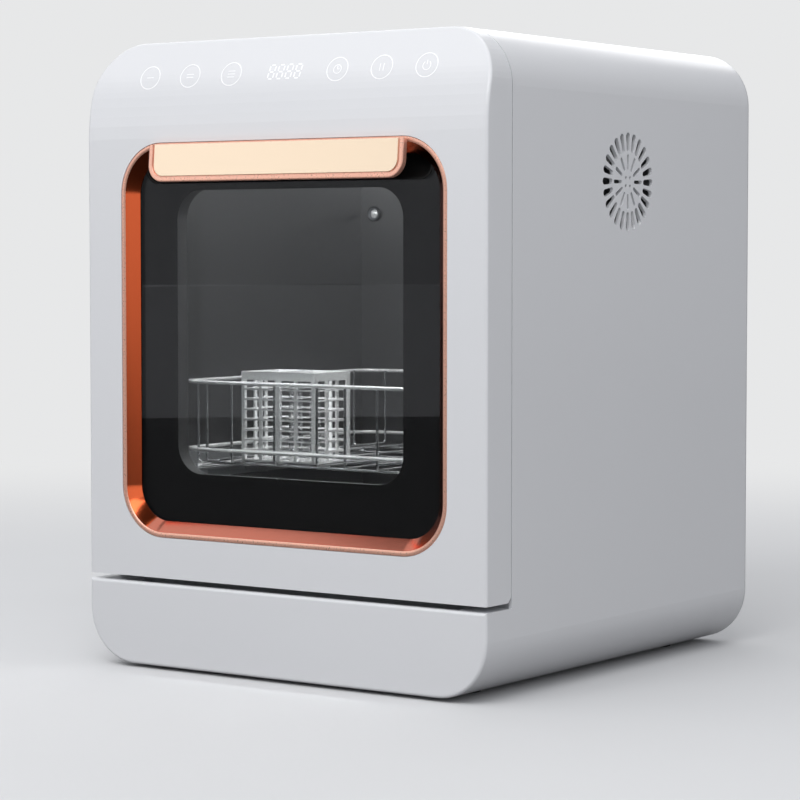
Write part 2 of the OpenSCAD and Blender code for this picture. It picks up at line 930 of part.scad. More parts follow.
module power_inlet() {
    color("#1f2023")
    difference() {
        union() {
            translate([power_x - 13.5, back_y - 20, port_z - 10])
                cube([27, 19.5, 20]);
            translate([power_x - 18, back_y - cover_t - gap - 2, port_z - 13])
                cube([36, 2, 26]);
        }
        difference() {
            translate([power_x - 11.8, back_y - 17, port_z - 8.3])
                cube([23.6, 20, 16.6]);
            translate([power_x - 8.3, back_y - 18, port_z - 5.6])
                cube([16.6, 16, 11.2]);
        }
        for (x = [-6, 0, 6])
            translate([power_x + x - 1.2, back_y - 16, port_z - 2.4])
                cube([2.4, 20, 4.8]);
    }
}

board_t = 1.6;
board_z = floor_z + shell_t + gap + 2 + 8;
module power_board() {
    color("#2f6b46")
    translate([inner_x - 147, back_y - 150, board_z]) {
        cube([94, 110, board_t]);
        for (x = [6, 88], y = [6, 104])
            translate([x, y, gap - 8])
                cylinder(r = 3, h = 8);
        translate([10, 12, 1])
            cube([30, 26, 24]);
        for (i = [0:2])
            translate([50 + i * 14, 18, 1])
                cube([11, 18, 15]);
        for (i = [0:3])
            translate([14 + i * 16, 60, 1])
                cylinder(r = 6, h = 20);
        translate([10, 80, 1])
            cube([70, 14, 10]);
    }
}

module level_sensor() {
    color("#d4d7da")
    difference() {
        union() {
            translate([-40, tub_yc + 80, floor_z + shell_t + gap + 2 + gap])
                cylinder(r = 20, h = 10);
            translate([-40, tub_yc + 80, floor_z + shell_t + gap + 4])
                cylinder(r = 14, h = 18);
            translate([-40, tub_yc + 80, floor_z + shell_t + gap + 4])
                cylinder(r = 4, h = 30);
        }
        translate([-40, tub_yc + 80, floor_z + 24])
            cylinder(r = 2.5, h = 40);
    }
}

// ---------- door ----------

// Depth behind the front plane of the surface that lies d inside the leaning front
function lean_at(z, d) =
    let (r = lean_r - d, u = z - lean_z)
    u <= 0 ? d :
    u < r * sin(lean_a) ? lean_r - sqrt(r * r - u * u) :
    lean_r - r * cos(lean_a) + (u - r * sin(lean_a)) * tan(lean_a);

bezel_zc = door_z + bezel_up + bezel_h / 2;
clear_zc = door_z + clear_up + clear_h / 2;
bezel_top = bezel_zc + bezel_h / 2;
glass_y = front_y + bezel_depth;
pane_w = bezel_w - 6;
pane_h = bezel_h - 6;
pane_r = bezel_r - 3;
border_y = glass_y + glass_t + gap;
border_t = 0.8;
liner_t = 2.5;
liner_y = door_back_y - liner_t;
inner_glass_y = liner_y - inner_glass_t - gap;
spacer_w = 4;
spacer_out = 1;
pocket_zc = bezel_top - rim_w - bezel_depth + 1 - pocket_h / 2;
touch_drop = 29.5;
touch_z = top_z - touch_drop;
touch_tilt = asin((touch_z - lean_z) / lean_r);
touch_xs = [for (t = [0.1333, 0.2405, 0.3468]) t * body_w];
strike_z = latch_z;

// Places children on the leaning band at the key row: +Z points into the door
module on_band(inset) {
    translate([0, front_y + lean_at(touch_z, 0), touch_z])
        rotate([-90 - touch_tilt, 0, 0])
            translate([0, 0, inset])
                children();
}

// Upper part of the door front, which leans back and has rounded edges
module door_top() {
    turn = 6;
    back = door_back_y - eps;
    hull() {
        for (sx = [-1, 1]) {
            translate([sx * (body_w / 2 - edge_r), front_y + edge_r, lean_z])
                cylinder(r = edge_r, h = eps, $fn = 24);
            translate([sx * (body_w / 2 - 1) - 1, back - 1, lean_z])
                cube([2, 1, eps]);
            for (z = [lean_z + 10:8:top_z - corner_r - 1])
                translate([sx * (body_w / 2 - edge_r), front_y + lean_at(z, edge_r), z])
                    sphere(r = edge_r, $fn = 16);
            for (a = [0:turn:90]) {
                x = body_w / 2 - corner_r + (corner_r - edge_r) * cos(a);
                z = top_z - corner_r + (corner_r - edge_r) * sin(a);
                translate([sx * x, front_y + lean_at(z, edge_r), z])
                    sphere(r = edge_r, $fn = 16);
                translate([sx * (x + edge_r * cos(a)) - 0.05, back - 0.05, z + edge_r * sin(a) - 0.05])
                    cube([0.1, 0.05, 0.05]);
            }
        }
    }
}

// Lower part of the door front: a bar with two rounded upright edges
module door_bottom() {
    translate([0, 0, door_z])
        linear_extrude(lean_z - door_z + eps) {
            translate([-body_w / 2, front_y + edge_r])
                square([body_w, door_t - edge_r - eps]);
            translate([-body_w / 2 + edge_r, front_y])
                square([body_w - 2 * edge_r, door_t - eps]);
            for (sx = [-1, 1])
                translate([sx * (body_w / 2 - edge_r), front_y + edge_r])
                    circle(edge_r);
        }
}

// Space inside the door moulding, d inside its outer surfaces
module door_inside(d) {
    steps = 10;
    lean_top = (lean_r - d) * sin(lean_a);
    intersection() {
        along_x(body_w)
            polygon(concat(
                [[door_back_y + 1, door_z + d], [front_y + d, door_z + d]],
                [for (i = [0:steps]) let (z = lean_z + lean_top * i / steps)
                    [front_y + lean_at(z, d), z]],
                [[front_y + lean_at(top_z, d), top_z], [door_back_y + 1, top_z]]
            ));
        slab(body_w - 2 * d, body_h - 2 * d, corner_r - d, front_y, door_back_y + 2, mid_z);
    }
}

// Cut that clears the casing when the door swings down
module door_relief() {
    translate([0, door_back_y, door_z])
        along_x(body_w + 2)
            polygon([[-door_chamfer, -1], [1, -1], [1, door_chamfer], [0, door_chamfer],
                [-door_chamfer, 0]]);
}

// Cut in the door's inner bottom edge for the casing's hinge arms and the door's leaves
module hinge_pockets(half) {
    for (sx = [-1, 1])
        translate([sx * hinge_x - half, hinge_y - eye_r - 0.8, door_z - 1])
            cube([2 * half, door_t, hinge_z - door_z + 1 + eye_r + 0.8]);
}

module door_shell() {
    color("#f0f1f4")
    difference() {
        union() {
            door_bottom();
            door_top();
        }
        difference() {
            door_inside(door_skin);
            // collar that carries the bezel
            slab(bezel_w + 5, bezel_h + 5, bezel_r + 2.5, front_y, front_y + 12, bezel_zc);
        }
        slab(bezel_w + 2 * gap, bezel_h + 2 * gap, bezel_r + gap, front_y - 1, front_y + 20, bezel_zc);
        door_relief();
        hinge_pockets(arm_t / 2 + 1);
    }
}

leaf_t = 2;
leaf_out = arm_t / 2 + gap + leaf_t;
leaf_top = hinge_z + 42;
module door_liner() {
    color("#aeb1b5")
    difference() {
        intersection() {
            slab(body_w - 2 * door_skin - 2 * gap, body_h - 2 * door_skin - 2 * gap,
                corner_r - door_skin - gap, liner_y, door_back_y, mid_z);
            translate([-body_w, front_y, door_z + door_skin + gap])
                cube([2 * body_w, body_d, body_h]);
        }
        slab(clear_w + 14, clear_h + 14, clear_r + 5, liner_y - 1, door_back_y + 1, clear_zc);
        door_relief();
        hinge_pockets(arm_t / 2 + 1);
        translate([-7.5, liner_y - 1, strike_z - 2])
            cube([15, liner_t + 2, 4]);
        for (sx = [-1, 1], z = [leaf_top - 10, leaf_top - 24])
            translate([sx * hinge_x, liner_y - 1, z])
                cyl_y(1.6, liner_t + 2);
    }
}

module window_bezel() {
    color("#c9683a")
    translate([0, front_y, bezel_zc])
        sweep_frame(bezel_w, bezel_h, bezel_r)
            polygon([
                [0, 0], [-rim_w, 0], [-rim_w - bezel_depth, bezel_depth - gap],
                [-rim_w - bezel_depth + 3, bezel_depth - gap], [-rim_w + 0.6, 2.2],
                [-2, 2.2], [-2, bezel_depth + 2], [0, bezel_depth + 2]
            ]);
}

module pocket_cut(extra, y0, y1) {
    slab(pocket_w + 2 * extra, pocket_h + 2 * extra, pocket_h / 2 + extra - eps, y0, y1, pocket_zc);
}

pocket_wall = 1.5;
module door_glass() {
    color("#1d1e20", 0.5)
    difference() {
        slab(pane_w, pane_h, pane_r, glass_y, glass_y + glass_t, bezel_zc);
        pocket_cut(pocket_wall + gap, glass_y - 1, glass_y + glass_t + 1);
    }
}

module glass_border() {
    color("#111214")
    difference() {
        slab(pane_w, pane_h, pane_r, border_y, border_y + border_t, bezel_zc);
        slab(clear_w, clear_h, clear_r, border_y - 1, border_y + border_t + 1, clear_zc);
        pocket_cut(pocket_wall + gap, border_y - 1, border_y + border_t + 1);
    }
}

module window_spacer() {
    color("#26282b")
    translate([0, 0, clear_zc])
        sweep_frame(clear_w + 2 * spacer_out, clear_h + 2 * spacer_out, clear_r + spacer_out)
            polygon([
                [0, border_y + border_t + gap], [spacer_w, border_y + border_t + gap],
                [spacer_w, inner_glass_y - gap], [0, inner_glass_y - gap]
            ]);
}

module inner_glass() {
    color("#3a3f42", 0.3)
    slab(clear_w + 34, clear_h + 28, clear_r + 10, inner_glass_y, inner_glass_y + inner_glass_t,
        clear_zc);
}

module finger_pocket() {
    color("#0f1012")
    difference() {
        pocket_cut(pocket_wall, glass_y, glass_y + pocket_depth + pocket_wall);
        pocket_cut(0, glass_y - 1, glass_y + pocket_depth);
    }
}

handle_top = bezel_top - 1.5;
// Places children on the handle's front face: origin at its top edge, +Y to the back
module on_handle() {
    translate([0, front_y - handle_out, handle_top])
        rotate([-handle_lean, 0, 0])
            children();
}

// Plate with square upper and rounded lower corners, hanging down from z = 0
module hanging_plate(w, h, r, y0, y1) {
    translate([0, y1, 0])
        rotate([90, 0, 0])
            linear_extrude(y1 - y0)
                intersection() {
                    translate([-w / 2, -h])
                        square([w, h]);
                    union() {
                        translate([-w / 2, -h + r])
                            square([w, h]);
                        translate([-w / 2 + r, -h])
                            square([w - 2 * r, h]);
                        for (sx = [-1, 1])
                            translate([sx * (w / 2 - r), -h + r])
                                circle(r);
                    }
                }
}

plate_t = 1.5;
handle_foot = 8;
module handle_frame() {
    color("#e0926c")
    difference() {
        union() {
            on_handle()
                hanging_plate(handle_w, handle_h, handle_r, 0, handle_t);
            // foot that carries the handle on the bezel's sloping wall
            translate([0, front_y, bezel_top - rim_w])
                along_x(handle_w - 12)
                    polygon([
                        [-handle_out + handle_t - 1, -1.2], [0.9 - gap, -1.2],
                        [handle_foot - 1 - gap, -handle_foot],
                        [-handle_out + handle_t - 1, -handle_foot + 3.5]
                    ]);
        }
        on_handle()
            translate([0, 0, 1])
                hanging_plate(handle_w - 2 * handle_rim, handle_h - handle_rim + 1,
                    handle_r - handle_rim, -1, plate_t);
    }
}

module handle_plate() {
    color("#fbe3c4")
    on_handle()
        hanging_plate(handle_w - 2 * handle_rim - 2 * gap, handle_h - handle_rim - gap,
            handle_r - handle_rim - gap, gap / 2, plate_t - gap / 2);
}

board_w = body_w - 80;
pad_len = 9;
pad_r = 7;
module control_board() {
    color("#2b5f3f")
    on_band(door_skin + gap + pad_len + gap) {
        translate([-board_w / 2, -12, 0])
            cube([board_w, 22, board_t]);
        for (x = [-30, 60, 110])
            translate([x, -8, 1])
                cube([14, 10, 3]);
    }
}

module touch_pads() {
    color("#b98b4a")
    on_band(door_skin + gap)
        for (sx = [-1, 1], x = touch_xs)
            translate([sx * x, 0, 0])
                difference() {
                    cylinder(r = pad_r, h = pad_len);
                    translate([0, 0, 1])
                        cylinder(r = pad_r - 1.2, h = pad_len);
                }
}

module display_module() {
    color("#17181a")
    on_band(door_skin + gap)
        translate([-24, -9, 0])
            difference() {
                cube([52, 17, pad_len]);
                translate([4, 3.5, -1])
                    cube([44, 10, 2]);
            }
}

module hinge_leaves() {
    color("#8a8e93")
    for (s = [0, 1])
        mirror([s, 0, 0])
            translate([hinge_x, 0, 0])
                difference() {
                    union() {
                        for (x = [-leaf_out, leaf_out - leaf_t])
                            translate([x + leaf_t / 2, 0, 0])
                                along_x(leaf_t) {
                                    translate([hinge_y, hinge_z])
                                        circle(eye_r);
                                    polygon([
                                        [hinge_y - eye_r, hinge_z], [hinge_y + eye_r, hinge_z],
                                        [liner_y - gap, hinge_z + 12], [liner_y - gap, leaf_top],
                                        [liner_y - gap - 8, leaf_top]
                                    ]);
                                }
                        translate([-leaf_out, liner_y - gap - leaf_t, hinge_z + 14])
                            cube([2 * leaf_out, leaf_t, leaf_top - hinge_z - 14]);
                    }
                    translate([-20, hinge_y, hinge_z])
                        cyl_x(pin_r + 0.02, 40);
                    for (z = [leaf_top - 10, leaf_top - 24])
                        translate([0, liner_y - 6, z])
                            cyl_y(1.6, 10);
                }
}

module hinge_pins() {
    color("#c4c7ca")
    for (s = [0, 1])
        mirror([s, 0, 0])
            translate([hinge_x - leaf_out - gap - 1.2, hinge_y, hinge_z]) {
                cyl_x(pin_r + 1.3, 1.2);
                cyl_x(pin_r, 2 * leaf_out + 2 * gap + 2.4);
                translate([2 * leaf_out + 2 * gap + 1.2, 0, 0])
                    cyl_x(pin_r + 1.3, 1.2);
            }
}

strike_len = 16;
module door_strike() {
    color("#c4c7ca") {
        translate([-16, liner_y - gap - 2, strike_z - 8])
            cube([32, 2, 14]);
        translate([-6, liner_y - gap - 1, strike_z - 1.2])
            cube([12, liner_t + seam + frame_t + strike_len - 8, 2.4]);
    }
}

// ---------- rack and basket ----------

rack_y0 = front_y + 58 - wire_r;
rack_z = tub_floor_z + rack_up;
rack_r = 20;
rack_hw = rack_w / 2 - wire_r;
rack_hd = rack_d / 2 - wire_r;
rack_yc = rack_y0 + wire_r + rack_hd;
mid_wire = 15;
thin_r = 0.75 * wire_r;
wire_bend = 4;
weld_gap = 0.1;
weld = wire_r + thin_r + weld_gap;
cross_up = wire_r + thin_r + weld_gap;
long_up = cross_up + 2 * thin_r + weld_gap;
tine_r = 0.8 * thin_r;
tine_h = 44;
tine_lean = 12;
floor_xs = [for (t = [-0.82, -0.64, -0.33, -0.03, 0.165, 0.385, 0.605, 0.82]) t * rack_hw];
cross_ys = [for (t = [-0.85, -0.27, 0.15, 0.45, 0.85]) t * rack_hd];
tine_xs = [for (t = [0.275, 0.495, 0.71]) t * rack_hw];
basket_x1 = -10;
basket_y0 = rack_y0 + wire_r + weld + wire_bend;
basket_z = rack_z + long_up + thin_r + gap;

// Closed wire loop in the level z with rounded corners
module wire_loop(z) {
    translate([0, rack_yc, z])
        rotate([90, 0, 0])
            sweep_frame(2 * rack_hw, 2 * rack_hd, rack_r)
                circle(wire_r);
}

// Wire bent up at both ends: floor of half-length hl along X, ends h high
module u_wire(hl, h) {
    translate([-hl + wire_bend, 0, 0])
        cyl_x(thin_r, 2 * (hl - wire_bend));
    for (s = [0, 1])
        mirror([s, 0, 0]) {
            translate([hl - wire_bend, 0, 0])
                rotate([90, 0, 0])
                    bend(thin_r, wire_bend);
            translate([hl, 0, wire_bend])
                cylinder(r = thin_r, h = h - wire_bend);
        }
}

module rack_loops() {
    color("#d7dadd") {
        wire_loop(rack_z + mid_wire);
        wire_loop(rack_z + rack_h);
    }
}

module rack_runners() {
    color("#d7dadd")
    for (sx = [-1, 1])
        translate([sx * (rack_hw - 7), rack_yc - rack_hd + 12, rack_z])
            cyl_y(wire_r, 2 * rack_hd - 24);
}

module rack_cross_wires() {
    color("#d7dadd")
    for (y = cross_ys)
        translate([0, rack_yc + y, rack_z + cross_up])
            u_wire(rack_hw - weld, rack_h - cross_up);
}

module rack_long_wires() {
    color("#d7dadd")
    for (x = floor_xs)
        translate([x, rack_yc, rack_z + long_up])
            rotate([0, 0, 90])
                u_wire(rack_hd - weld, rack_h - long_up);
}

module rack_tines() {
    color("#d7dadd")
    for (x = tine_xs, y = [cross_ys[1], cross_ys[3]])
        translate([x, rack_yc + y, rack_z + cross_up + thin_r + gap])
            rotate([-tine_lean, 0, 0])
                cylinder(r = tine_r, h = tine_h);
}

// Lattice wall w wide and h high, with a solid band of height band on top
module lattice(w, h, nx, nz, post, rail, band) {
    for (i = [0:nx])
        translate([i * (w - post) / nx, 0])
            square([post, h]);
    for (i = [0:nz])
        translate([0, i * (h - band) / nz])
            square([w, rail]);
    translate([0, h - band])
        square([w, band]);
}

basket_t = 1.6;
band_h = 7;
module cutlery_basket() {
    side_d = basket_d - 2 * basket_t - 2 * gap;
    floor_w = basket_w - 2 * basket_t - 2 * gap;
    color("#e4e6e8")
    translate([basket_x1 - basket_w, basket_y0, basket_z]) {
        for (y = [basket_t, basket_d])
            translate([0, y, 0])
                rotate([90, 0, 0])
                    linear_extrude(basket_t)
                        lattice(basket_w, basket_h, 4, 8, 3, 1.5, band_h);
        for (x = [0, basket_w - basket_t])
            translate([x, basket_t + gap, 0])
                rotate([90, 0, 90])
                    linear_extrude(basket_t)
                        lattice(side_d, basket_h, 3, 8, 3, 1.5, band_h);
        translate([basket_t + gap, basket_t + gap, 0])
            linear_extrude(basket_t)
                lattice(floor_w, side_d, 8, 4, 2, 2, 2);
    }
}

module basket_divider() {
    color("#e4e6e8")
    translate([basket_x1 - basket_w / 2, basket_y0 + basket_t + gap, basket_z + basket_t + gap])
        rotate([90, 0, 90])
            linear_extrude(basket_t, center = true)
                lattice(basket_d - 2 * basket_t - 2 * gap, basket_h - basket_t - gap,
                    3, 8, 3, 1.5, band_h);
}

// ---------- spray arm, filter ----------

arm_hub = 24;
arm_tip = 11;
module spray_arm() {
    color("#85898e")
    translate([0, tub_yc, arm_z])
        difference() {
            union() {
                linear_extrude(9) {
                    circle(arm_hub);
                    polygon([
                        [arm_len / 2 - arm_tip, -arm_tip], [arm_len / 2 - arm_tip, arm_tip],
                        [0, arm_hub - 4], [-arm_len / 2 + arm_tip, arm_tip],
                        [-arm_len / 2 + arm_tip, -arm_tip], [0, -arm_hub + 4]
                    ]);
                    for (sx = [-1, 1])
                        translate([sx * (arm_len / 2 - arm_tip), 0])
                            circle(arm_tip);
                }
                cylinder(r = 18, h = 16);
                for (sx = [-1, 1])
                    translate([sx * 15, -3, 8])
                        cube([2, 6, 2]);
                translate([-arm_len / 2 + 20, -2.5, 8])
                    cube([arm_len - 40, 5, 3]);
            }
            translate([0, 0, -1])
                cylinder(r = post_r + run_gap, h = 20);
            translate([0, 0, 2])
                cylinder(r = post_r + 5, h = 11);
            for (sx = [-1, 1])
                translate([sx * (arm_len / 4 + 4), 0, 4.5])
                    cube([arm_len / 2 - 26, 8, 5], center = true);
            for (sx = [-1, 1], x = [34:20:arm_len / 2 - 12])
                translate([sx * x, 0, 5])
                    cylinder(r = 1.5, h = 10);
        }
}

module filter_cup() {
    color("#75797e")
    translate([0, tub_yc, tub_floor_z + gap])
        difference() {
            union() {
                cylinder(r = sump_r + 4, h = 1.6);
                translate([0, 0, -34])
                    cylinder(r = sump_r - 8, h = 35);
                for (a = [0, 180])
                    rotate([0, 0, a])
                        translate([sump_r - 16, -2, 1])
                            cube([12, 4, 9]);
            }
            translate([0, 0, -40])
                cylinder(r = 12 + 1, h = 50);
            translate([0, 0, -32])
                difference() {
                    cylinder(r = sump_r - 9.5, h = 33 - gap);
                    translate([0, 0, -1])
                        cylinder(r = 14.5, h = 40);
                }
            for (r = [22, 30], a = [0:30:359])
                rotate([0, 0, a + r])
                    translate([r, 0, -1])
                        cylinder(r = 2.4, h = 4);
            for (a = [0:30:359])
                rotate([0, 0, a])
                    translate([sump_r - 12, -2.5, -28])
                        cube([8, 5, 20]);
        }
}

outer_casing();
front_frame();
back_cover();
cover_screws();
base_pan();
rubber_feet();
wash_tub();
tub_gasket();
rack_rails();
tub_lamp();
sump();
spray_post();
heating_element();
fan_frame();
fan_gasket();
hinge_brackets();
latch_housing();
pump_volute();
pump_motor();
pump_elbow();
drain_pump();
drain_hose();
drain_outlet();
water_inlet();
inlet_valve();
fill_hose();
power_inlet();
power_board();
level_sensor();
door_shell();
door_liner();
window_bezel();
door_glass();
glass_border();
window_spacer();
inner_glass();
finger_pocket();
handle_frame();
handle_plate();
control_board();
touch_pads();
display_module();
hinge_leaves();
hinge_pins();
door_strike();
rack_loops();
rack_runners();
rack_cross_wires();
rack_long_wires();
rack_tines();
cutlery_basket();
basket_divider();
spray_arm();
filter_cup();
fan_rotor();
pump_impeller();
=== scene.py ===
"""Looks of the countertop dishwasher: studio, camera, finishes and the printed control band."""

import math

import bmesh
import bpy
from mathutils import Matrix, Vector


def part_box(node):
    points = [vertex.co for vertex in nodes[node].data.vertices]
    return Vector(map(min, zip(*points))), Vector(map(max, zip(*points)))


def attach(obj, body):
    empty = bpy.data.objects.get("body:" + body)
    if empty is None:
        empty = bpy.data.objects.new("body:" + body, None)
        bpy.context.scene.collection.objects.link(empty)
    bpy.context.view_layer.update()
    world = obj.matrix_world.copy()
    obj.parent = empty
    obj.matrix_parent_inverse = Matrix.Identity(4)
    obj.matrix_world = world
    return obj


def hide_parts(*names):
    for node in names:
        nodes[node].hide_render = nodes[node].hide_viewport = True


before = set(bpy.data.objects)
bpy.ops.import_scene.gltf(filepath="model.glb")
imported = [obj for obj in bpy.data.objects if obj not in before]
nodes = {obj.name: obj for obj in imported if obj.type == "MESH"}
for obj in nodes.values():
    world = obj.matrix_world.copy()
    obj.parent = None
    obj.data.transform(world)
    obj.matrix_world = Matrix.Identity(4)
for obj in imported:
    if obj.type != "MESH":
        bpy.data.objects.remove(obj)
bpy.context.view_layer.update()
MM = 0.001

# Sizes of the machine, in metres, that the dressed pieces follow
DEPTH = 0.420
TOP = 0.520
HANDLE_SHIFT = 0.00425  # the frame is centred on the box that takes in the handle
FRONT = HANDLE_SHIFT - DEPTH / 2
LEAN_START = TOP - 0.080
LEAN_RADIUS = 0.145
LEAN_ANGLE = math.radians(21.5)
KEY_HEIGHT = TOP - 0.0295


def band_depth(z):
    """How far behind the front plane the leaning door front lies at height z."""
    rise = z - LEAN_START
    bend_top = LEAN_RADIUS * math.sin(LEAN_ANGLE)
    if rise <= 0:
        return 0.0
    if rise < bend_top:
        return LEAN_RADIUS - math.sqrt(LEAN_RADIUS ** 2 - rise ** 2)
    return LEAN_RADIUS * (1 - math.cos(LEAN_ANGLE)) + (rise - bend_top) * math.tan(LEAN_ANGLE)


# ---------------------------------------------------------------- surface groups

COLOUR, NUMBER, VECTOR = "NodeSocketColor", "NodeSocketFloat", "NodeSocketVector"


def new_surface(name, inputs):
    """Shader node group with named inputs, and colour, roughness and height as outputs."""
    group = bpy.data.node_groups.new(name, "ShaderNodeTree")
    for label, kind, default in inputs:
        socket = group.interface.new_socket(label, in_out="INPUT", socket_type=kind)
        socket.default_value = default
    for label, kind in (("Colour", COLOUR), ("Roughness", NUMBER), ("Height", NUMBER)):
        group.interface.new_socket(label, in_out="OUTPUT", socket_type=kind)
    return group, group.nodes.new("NodeGroupInput"), group.nodes.new("NodeGroupOutput")


def add(tree, kind, **settings):
    """A node with some of its settings."""
    node = tree.nodes.new(kind)
    for key, value in settings.items():
        setattr(node, key, value)
    return node


def feed(tree, socket, value):
    """Gives a socket a number, or another socket to follow."""
    if isinstance(value, (int, float)):
        socket.default_value = value
    else:
        tree.links.new(value, socket)


def noise(tree, vector, scale, detail):
    """Noise between 0 and 1; its scale is a socket or a number."""
    texture = add(tree, "ShaderNodeTexNoise")
    texture.inputs["Detail"].default_value = detail
    tree.links.new(vector, texture.inputs["Vector"])
    feed(tree, texture.inputs["Scale"], scale)
    return texture.outputs["Fac"]


def maths(tree, operation, first, second):
    """Math node; each operand is a socket or a number."""
    node = add(tree, "ShaderNodeMath", operation=operation)
    feed(tree, node.inputs[0], first)
    feed(tree, node.inputs[1], second)
    return node.outputs[0]


def drifted(tree, field, amount, base):
    """The base value, moved up and down by a noise field."""
    centred = maths(tree, "SUBTRACT", field, 0.5)
    return maths(tree, "ADD", maths(tree, "MULTIPLY", centred, amount), base)


def fill_surface(group, source, sink, tone_field, grain_field):
    """Colour drifts with one field, and roughness and height follow the other."""
    tone = add(group, "ShaderNodeHueSaturation")
    group.links.new(source.outputs["Colour"], tone.inputs["Color"])
    feed(group, tone.inputs["Value"],
         drifted(group, tone_field, source.outputs["Tone Drift"], 1.0))
    group.links.new(tone.outputs["Color"], sink.inputs["Colour"])
    feed(group, sink.inputs["Roughness"],
         drifted(group, grain_field, source.outputs["Gloss Drift"], source.outputs["Gloss"]))
    group.links.new(grain_field, sink.inputs["Height"])


def make_moulded_surface():
    """Slight tone drift, uneven gloss and orange-peel height of moulded surfaces."""
    group, source, sink = new_surface("moulded_surface", [
        ("Colour", COLOUR, (0.8, 0.8, 0.8, 1)), ("Tone Drift", NUMBER, 0.04),
        ("Gloss", NUMBER, 0.3), ("Gloss Drift", NUMBER, 0.05), ("Grain Scale", NUMBER, 900.0)])
    place = add(group, "ShaderNodeTexCoord").outputs["Object"]
    wide = noise(group, place, scale=6.0, detail=2.0)
    grain = noise(group, place, scale=source.outputs["Grain Scale"], detail=2.0)
    fill_surface(group, source, sink, wide, grain)
    return group


def make_brushed_surface():
    """Long fine scratches along one direction, for brushed sheet steel."""
    group, source, sink = new_surface("brushed_surface", [
        ("Colour", COLOUR, (0.6, 0.6, 0.6, 1)), ("Tone Drift", NUMBER, 0.06),
        ("Gloss", NUMBER, 0.3), ("Gloss Drift", NUMBER, 0.15),
        ("Stretch", VECTOR, (6.0, 400.0, 400.0))])
    place = add(group, "ShaderNodeTexCoord").outputs["Object"]
    stretch = add(group, "ShaderNodeVectorMath", operation="MULTIPLY")
    group.links.new(place, stretch.inputs[0])
    group.links.new(source.outputs["Stretch"], stretch.inputs[1])
    hair = noise(group, stretch.outputs[0], scale=1.0, detail=4.0)
    fill_surface(group, source, sink, hair, hair)
    return group


MOULDED = make_moulded_surface()
BRUSHED = make_brushed_surface()
BUMP_DISTANCE = 0.2 * MM


def finish_of(name, group, colour, gloss, values=(), bump=0.0, **shader_values):
    """Principled material whose colour, roughness and bump come from a surface group."""
    material = bpy.data.materials.new(name)
    material.use_nodes = True
    tree = material.node_tree
    shader = tree.nodes["Principled BSDF"]
    surface = add(tree, "ShaderNodeGroup", node_tree=group)
    surface.inputs["Colour"].default_value = (*colour, 1)
    surface.inputs["Gloss"].default_value = gloss
    for label, value in dict(values).items():
        surface.inputs[label].default_value = value
    tree.links.new(surface.outputs["Colour"], shader.inputs["Base Color"])
    tree.links.new(surface.outputs["Roughness"], shader.inputs["Roughness"])
    if bump:
        relief = add(tree, "ShaderNodeBump")
        relief.inputs["Strength"].default_value = bump
        relief.inputs["Distance"].default_value = BUMP_DISTANCE
        tree.links.new(surface.outputs["Height"], relief.inputs["Height"])
        tree.links.new(relief.outputs["Normal"], shader.inputs["Normal"])
    for label, value in shader_values.items():
        shader.inputs[label.replace("_", " ")].default_value = value
    return material


def mix_of(tree, choice, first, second):
    """Mix shader between two shader outputs."""
    mix = add(tree, "ShaderNodeMixShader")
    for socket, value in zip(mix.inputs, (choice, first, second)):
        tree.links.new(value, socket)
    return mix.outputs[0]


def see_through(name, tint):
    """Clear glass that lets light fall through it."""
    smoothness = 0.002
    material = finish_of(name, MOULDED, tint, smoothness,
                         {"Tone Drift": 0.02, "Gloss Drift": smoothness},
                         Transmission_Weight=1.0, IOR=1.45)
    tree = material.node_tree
    clear = add(tree, "ShaderNodeBsdfTransparent")
    clear.inputs["Color"].default_value = (*tint, 1)
    shadow_ray = add(tree, "ShaderNodeLightPath").outputs["Is Shadow Ray"]
    glass = mix_of(tree, shadow_ray, tree.nodes["Principled BSDF"].outputs[0], clear.outputs[0])
    tree.links.new(glass, tree.nodes["Material Output"].inputs["Surface"])
    return material


# ---------------------------------------------------------------- finishes

def drift(tone, gloss=0.05, **more):
    """How far a finish's tone and gloss drift, with other values of its surface group."""
    return {"Tone Drift": tone, "Gloss Drift": gloss,
            **{label.replace("_", " "): value for label, value in more.items()}}


# Painted, printed and clear surfaces
white_shell = finish_of("white_satin_shell", MOULDED, (0.80, 0.81, 0.835), 0.30, drift(0.02),
                        bump=0.03, Coat_Weight=0.35, Coat_Roughness=0.18)
black_print = finish_of("black_printed_glass", MOULDED, (0.013, 0.013, 0.014), 0.12,
                        drift(0.1, 0.02))
# White print with a faint emission: a painted glow, no lamp lights it
painted_glow_white = finish_of("printed_white_painted_glow", MOULDED, (0.95, 0.955, 0.97), 0.35, drift(0.02),
                       Emission_Strength=0.16, Emission_Color=(1, 1, 1, 1))
# Pure black standing for the shade in the finger pocket's recess: painted shadow; the studio cards
# use it too
painted_shadow_black = finish_of("shadow_black", MOULDED, (0.004, 0.004, 0.004), 0.8, drift(0.1))
dark_glass = see_through("tinted_pane", (0.62, 0.625, 0.63))
clear_glass = see_through("clear_pane", (0.90, 0.92, 0.92))
lamp_lens = finish_of("lamp_lens", MOULDED, (0.95, 0.96, 0.97), 0.20, drift(0.03),
                      Metallic=0.5, Emission_Strength=0.12, Emission_Color=(1, 0.98, 0.95, 1))

